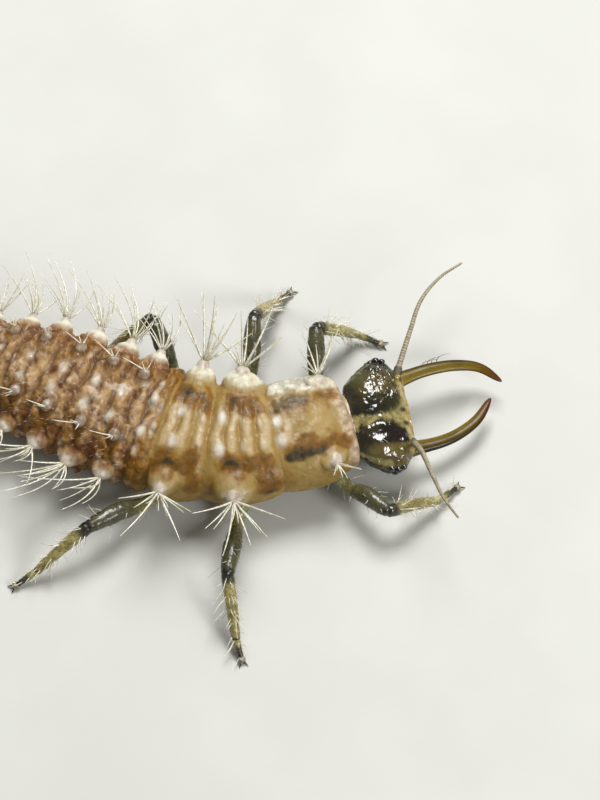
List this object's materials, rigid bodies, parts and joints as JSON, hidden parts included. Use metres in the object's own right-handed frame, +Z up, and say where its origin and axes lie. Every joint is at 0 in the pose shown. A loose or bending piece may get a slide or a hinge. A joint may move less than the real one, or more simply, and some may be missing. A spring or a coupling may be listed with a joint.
{
  "type": "green lacewing larva",
  "caption": "Life-size still model of a lacewing larva standing on its six legs and tail, with sickle jaws spread and bristled warts along its sides.",
  "frame": {"origin": "on the floor, under the middle of the box round the whole animal", "axes": "+X the way the animal walks, +Y its left side, +Z up from the floor"},
  "size_m": [0.0062, 0.0045, 0.0015],
  "materials": {
    "body_skin": "soft, slightly moist skin, cream in front and mottled red-brown behind, with brown side bands and white warts",
    "head_shell": "polished, near black with a pale middle stripe",
    "eye_beads": "polished black",
    "jaw_horn": "polished translucent amber, darker at the edges and tips",
    "antenna_skin": "finely ringed grey-brown",
    "leg_skin": "glossy translucent olive, blackish round the knees"
  },
  "bodies": {
    "root": {"prothorax": "body_skin", "mesothorax": "body_skin", "metathorax": "body_skin", "abdomen_1": "body_skin", "abdomen_2": "body_skin", "abdomen_3": "body_skin", "abdomen_4": "body_skin", "abdomen_5": "body_skin", "abdomen_6": "body_skin", "abdomen_7": "body_skin", "abdomen_8": "body_skin", "abdomen_9": "body_skin", "abdomen_10": "body_skin", "neck": "body_skin", "head": "head_shell", "jaw_left": "jaw_horn", "antenna_left": "antenna_skin", "palp_left": "antenna_skin", "eyes_left": "eye_beads", "jaw_right": "jaw_horn", "antenna_right": "antenna_skin", "palp_right": "antenna_skin", "eyes_right": "eye_beads", "leg_front_right_coxa": "leg_skin", "leg_front_right_femur": "leg_skin", "leg_front_right_tibia": "leg_skin", "leg_front_right_tarsus": "leg_skin", "leg_front_left_coxa": "leg_skin", "leg_front_left_femur": "leg_skin", "leg_front_left_tibia": "leg_skin", "leg_front_left_tarsus": "leg_skin", "leg_middle_right_coxa": "leg_skin", "leg_middle_right_femur": "leg_skin", "leg_middle_right_tibia": "leg_skin", "leg_middle_right_tarsus": "leg_skin", "leg_middle_left_coxa": "leg_skin", "leg_middle_left_femur": "leg_skin", "leg_middle_left_tibia": "leg_skin", "leg_middle_left_tarsus": "leg_skin", "leg_hind_right_coxa": "leg_skin", "leg_hind_right_femur": "leg_skin", "leg_hind_right_tibia": "leg_skin", "leg_hind_right_tarsus": "leg_skin", "leg_hind_left_coxa": "leg_skin", "leg_hind_left_femur": "leg_skin", "leg_hind_left_tibia": "leg_skin", "leg_hind_left_tarsus": "leg_skin"}
  },
  "joints": []
}
